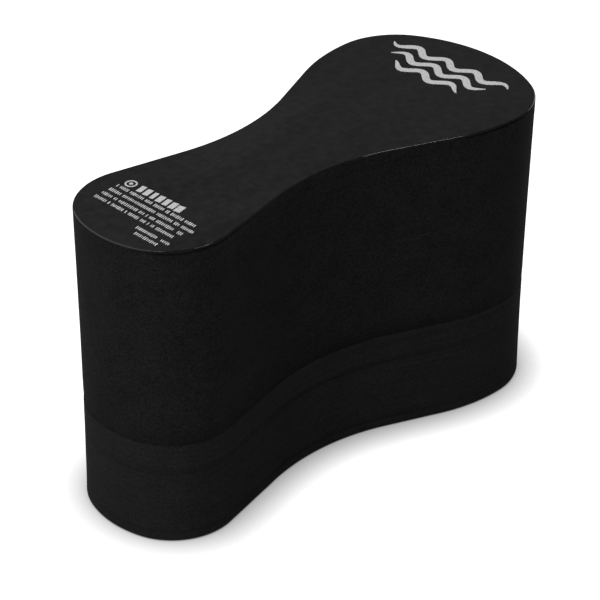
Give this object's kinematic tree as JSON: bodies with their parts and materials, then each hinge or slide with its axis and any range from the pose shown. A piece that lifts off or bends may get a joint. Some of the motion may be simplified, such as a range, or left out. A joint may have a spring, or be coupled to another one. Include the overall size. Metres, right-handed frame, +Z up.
{
  "type": "pull buoy",
  "caption": "Black laminated foam pull buoy with a large lobe, a small lobe and a narrow waist, held between a swimmer's thighs as a leg float.",
  "frame": {"origin": "under the middle of the two-lobed outline, on the base plane", "axes": "+X towards the large lobe along the long axis, +Y across the width, +Z up through the foam sheets from the lower face to the printed upper face"},
  "size_m": [0.24, 0.106, 0.1472],
  "materials": {
    "foam_skin": "satin moulded skin of closed-cell EVA foam",
    "foam_cut": "matte cut face of closed-cell EVA foam",
    "adhesive": "dried contact adhesive",
    "print_ink": "satin transfer print"
  },
  "bodies": {
    "root": {"bottom_skin_sheet": "foam_skin", "lower_foam_block": "foam_cut", "middle_foam_sheet": "foam_cut", "upper_foam_block": "foam_cut", "crown_foam_block": "foam_cut", "top_skin_sheet": "foam_skin", "bottom_glue_film": "adhesive", "lower_glue_film": "adhesive", "main_glue_film": "adhesive", "upper_glue_film": "adhesive", "top_glue_film": "adhesive", "wave_print_1": "print_ink", "wave_print_2": "print_ink", "wave_print_3": "print_ink", "notice_dot": "print_ink", "notice_heading": "print_ink", "notice_line_1": "print_ink", "notice_line_2": "print_ink", "notice_line_3": "print_ink", "notice_line_4": "print_ink", "notice_end_line_1": "print_ink", "notice_end_line_2": "print_ink"}
  },
  "joints": []
}
